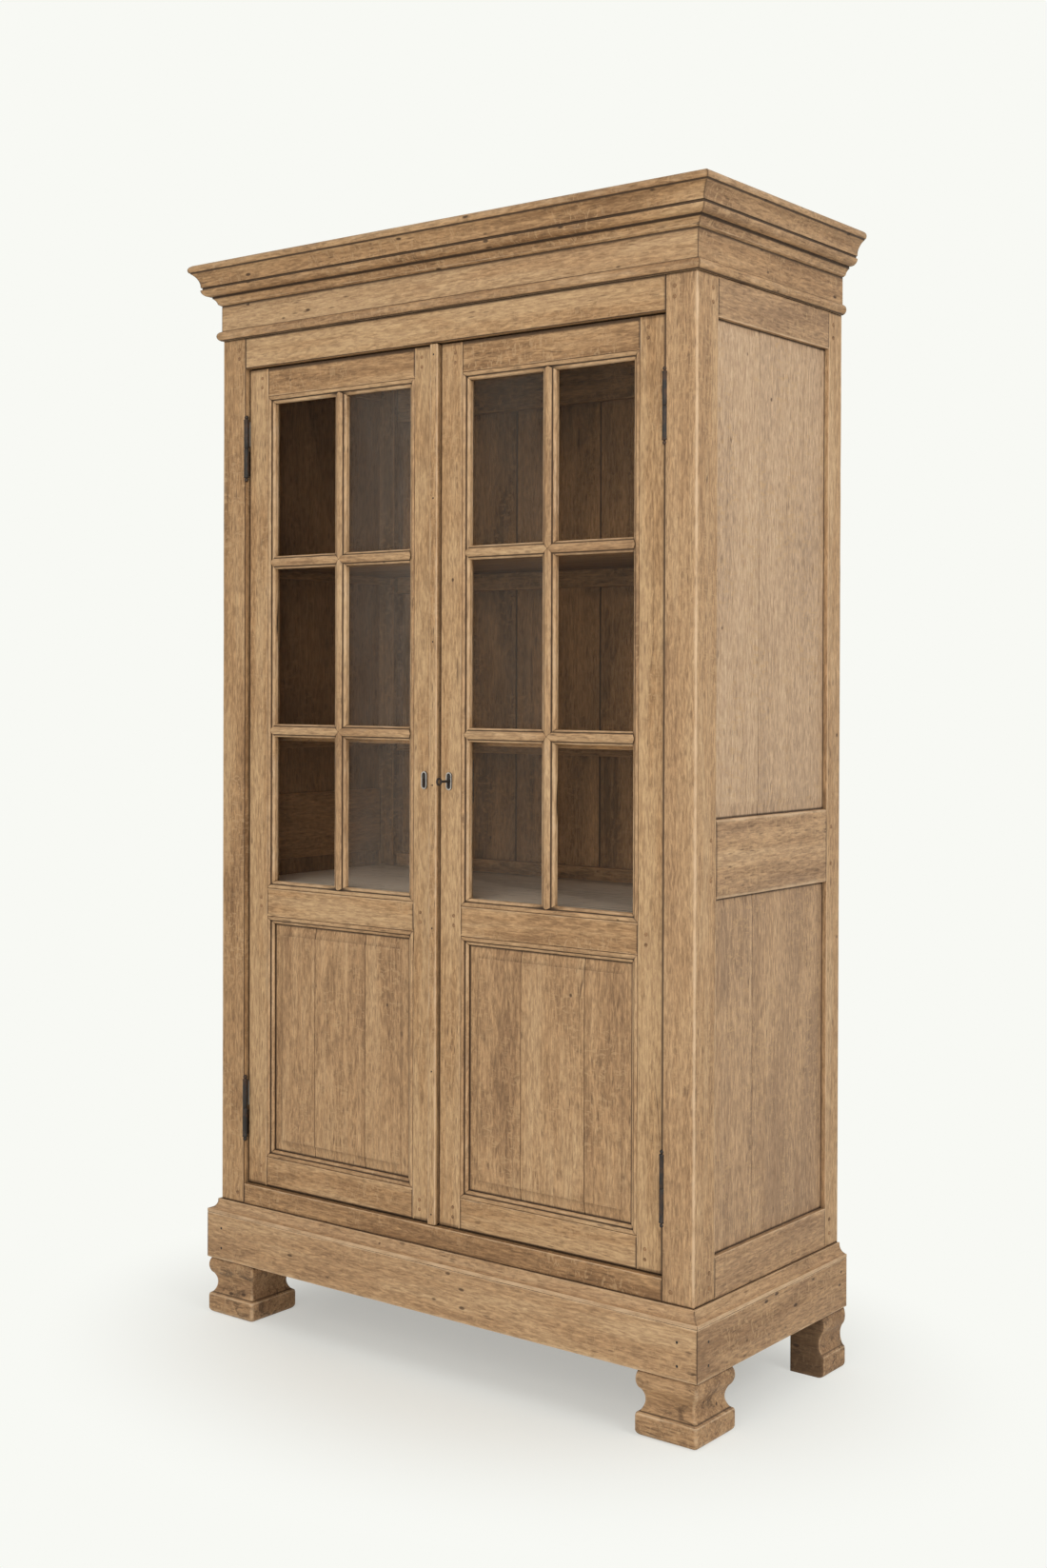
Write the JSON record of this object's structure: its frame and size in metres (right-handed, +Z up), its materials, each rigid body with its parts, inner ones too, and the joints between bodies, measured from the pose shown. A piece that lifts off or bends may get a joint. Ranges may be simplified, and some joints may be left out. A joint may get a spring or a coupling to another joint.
{
  "type": "display cabinet",
  "caption": "Tall free-standing oak display cabinet with hinged doors, glazed above and panelled below, inside shelves, a moulded cornice and a plinth on shaped feet.",
  "frame": {"origin": "on the floor, under the middle of the whole cabinet with its cornice", "axes": "+Z up, -Y out of the doors towards the viewer, +X to the viewer's right"},
  "size_m": [1.2356, 0.5523, 2.118],
  "materials": {
    "oak": "waxed, weathered",
    "inner_oak": "bare, grey with age",
    "pegs": "end grain, waxed",
    "iron": "dark, worn",
    "glass": "clear"
  },
  "bodies": {
    "carcass": {"back_boards": "inner_oak", "back_feet": "oak", "back_post_left": "oak", "back_post_right": "oak", "back_rails": "inner_oak", "base_moulding": "oak", "carcass_pegs": "pegs", "cornice_front": "oak", "cornice_sides": "oak", "deck": "inner_oak", "dust_board": "inner_oak", "floor": "inner_oak", "frieze": "oak", "front_bottom_rail": "oak", "front_feet": "oak", "front_post_left": "oak", "front_post_right": "oak", "front_top_rail": "oak", "left_side_panels": "oak", "left_side_rails": "oak", "middle_shelf": "inner_oak", "plinth_back": "inner_oak", "plinth_front": "oak", "plinth_sides": "oak", "post_hinge_halves": "iron", "right_side_panels": "oak", "right_side_rails": "oak", "shelf_bearers": "inner_oak", "torus_moulding": "oak", "upper_shelf": "inner_oak"},
    "left_door": {"left_hinge_stile": "oak", "left_meeting_stile": "oak", "left_door_top_rail": "oak", "left_door_lock_rail": "oak", "left_door_bottom_rail": "oak", "left_door_glazing_bars": "oak", "left_door_glass": "glass", "left_door_mouldings": "oak", "left_door_panel": "oak", "left_door_pegs": "pegs", "left_door_hinge_halves": "iron", "left_escutcheon": "iron", "meeting_strip": "oak", "keeper": "iron"},
    "right_door": {"right_hinge_stile": "oak", "right_meeting_stile": "oak", "right_door_top_rail": "oak", "right_door_lock_rail": "oak", "right_door_bottom_rail": "oak", "right_door_glazing_bars": "oak", "right_door_glass": "glass", "right_door_mouldings": "oak", "right_door_panel": "oak", "right_door_pegs": "pegs", "right_door_hinge_halves": "iron", "right_escutcheon": "iron", "lock_case": "iron"},
    "key": {"key": "iron"},
    "lock_bolt": {"lock_bolt": "iron"}
  },
  "joints": [
    {"name": "left_door_swing", "type": "hinge", "parent": "carcass", "child": "left_door", "pos_m": [-0.5012, -0.22285, 1.084], "axis": [0, 0, -1], "range_deg": [0, 165]},
    {"name": "right_door_swing", "type": "hinge", "parent": "carcass", "child": "right_door", "pos_m": [0.5012, -0.22285, 1.084], "axis": [0, 0, 1], "range_deg": [0, 165]},
    {"name": "key_turn", "type": "hinge", "parent": "right_door", "child": "key", "pos_m": [0.024, -0.21485, 1.096], "axis": [0, 1, 0], "range_deg": [0, 180]},
    {"name": "bolt_throw", "type": "slide", "parent": "right_door", "child": "lock_bolt", "axis": [-1, 0, 0], "range_m": [0, 0.012]}
  ],
  "couplings": [
    {"joint": "key_turn", "follows": "bolt_throw", "rad_per_m": 261.79}
  ]
}
